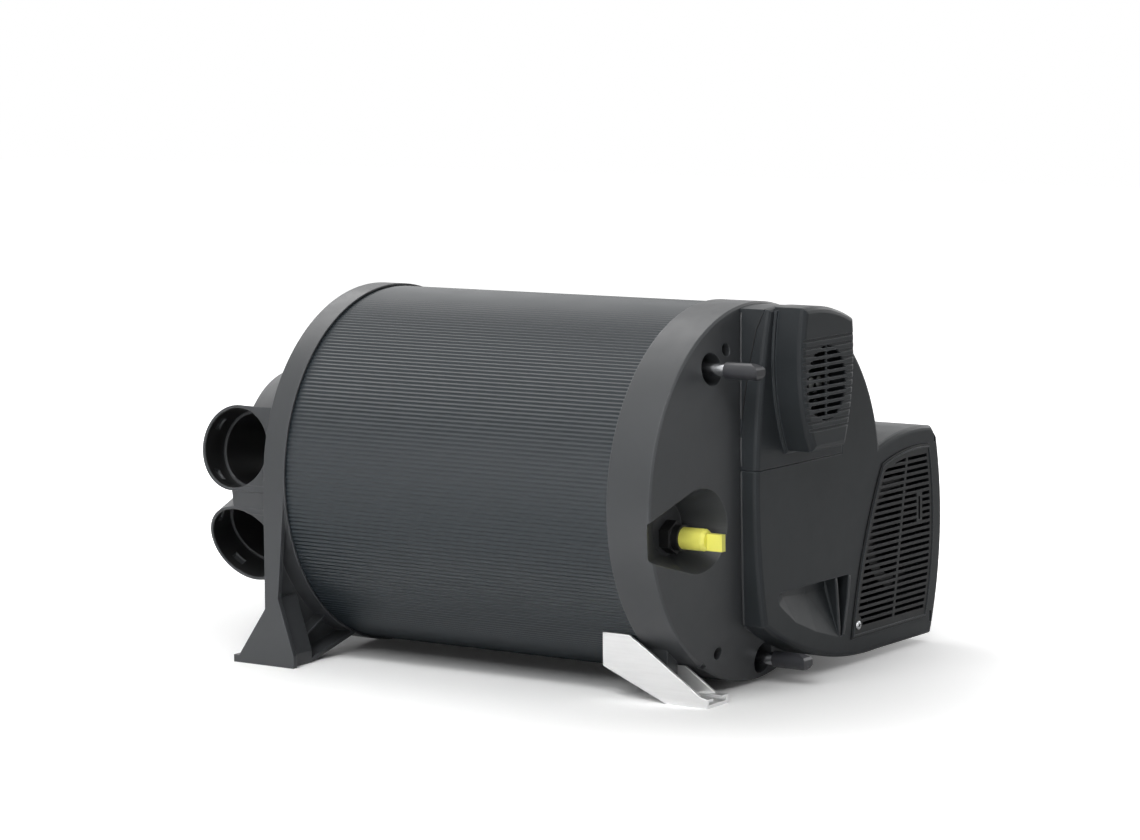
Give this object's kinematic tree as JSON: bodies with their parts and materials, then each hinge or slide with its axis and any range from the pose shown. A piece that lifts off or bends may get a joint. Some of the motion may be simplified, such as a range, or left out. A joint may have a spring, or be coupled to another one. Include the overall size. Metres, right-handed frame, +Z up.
{
  "type": "caravan water heater",
  "caption": "Ribbed drum heater on legs and brackets: heats water and blows warm air through side outlets, with burner, fan and controls in its end housing.",
  "frame": {"origin": "on the floor, midway between the two screw holes of the rear legs", "axes": "+X along the drum from the warm-air outlets to the fan end, +Z up, -Y the side with the gas and hot-water connections"},
  "size_m": [0.517, 0.395, 0.2985],
  "materials": {
    "jacket": "ribbed dark grey sheet, satin",
    "moulding": "moulded grey plastic, fine grain",
    "housing": "moulded dark grey plastic, fine grain",
    "grille": "black moulded plastic",
    "rubber": "black rubber",
    "black_plastic": "black plastic",
    "yellow_cap": "soft yellow plastic",
    "grey_cap": "soft grey plastic",
    "bracket": "bright pressed aluminium",
    "steel": "bright steel",
    "cast_alloy": "cast aluminium",
    "brass": "turned brass",
    "foam": "pale rigid foam",
    "ceramic": "glazed ceramic",
    "board": "green circuit board"
  },
  "bodies": {
    "heater": {"jacket": "jacket", "insulation_upper": "foam", "insulation_lower": "foam", "water_tank": "steel", "heat_exchanger": "cast_alloy", "burner_tube": "steel", "ignition_electrode": "ceramic", "blower_housing": "cast_alloy", "blower_motor": "black_plastic", "gas_valve": "brass", "gas_pipe": "steel", "gas_nut": "black_plastic", "hot_fitting": "brass", "hot_pipe": "steel", "hot_grommet": "rubber", "cold_fitting": "brass", "cold_pipe": "steel", "cold_grommet": "rubber", "temperature_sensor": "brass", "overheat_switch": "black_plastic", "rear_cap": "moulding", "rear_gasket": "rubber", "air_distributor": "moulding", "distributor_screws": "steel", "front_cap": "moulding", "front_gasket": "rubber", "cap_screws": "steel", "front_bracket": "bracket", "bracket_screw": "steel", "fan_housing": "housing", "fan_motor": "black_plastic", "intake_grille": "grille", "grille_screw": "steel", "control_board": "board", "board_screws": "steel", "exhaust_tube": "steel", "combustion_air_tube": "black_plastic"},
    "gas_cap": {"gas_cap": "yellow_cap"},
    "hot_cap": {"hot_cap": "grey_cap"},
    "cold_cap": {"cold_cap": "grey_cap"},
    "electronics_cover": {"electronics_cover": "housing"},
    "fan_wheel": {"fan_wheel": "black_plastic"},
    "blower_wheel": {"blower_wheel": "black_plastic"}
  },
  "joints": [
    {"name": "circulation_fan_spin", "type": "hinge", "parent": "heater", "child": "fan_wheel", "pos_m": [0.39, 0.193, 0.0955], "axis": [1, 0, 0], "continuous": true},
    {"name": "combustion_blower_spin", "type": "hinge", "parent": "heater", "child": "blower_wheel", "pos_m": [0.37, 0, 0.1505], "axis": [1, 0, 0], "continuous": true},
    {"name": "gas_cap_pull", "type": "slide", "parent": "heater", "child": "gas_cap", "axis": [1, 0, 0], "range_m": [0, 0.03]},
    {"name": "hot_cap_pull", "type": "slide", "parent": "heater", "child": "hot_cap", "axis": [1, 0, 0], "range_m": [0, 0.03]},
    {"name": "cold_cap_pull", "type": "slide", "parent": "heater", "child": "cold_cap", "axis": [1, 0, 0], "range_m": [0, 0.03]},
    {"name": "electronics_cover_lift", "type": "slide", "parent": "heater", "child": "electronics_cover", "axis": [1, 0, 0], "range_m": [0, 0.06]}
  ]
}
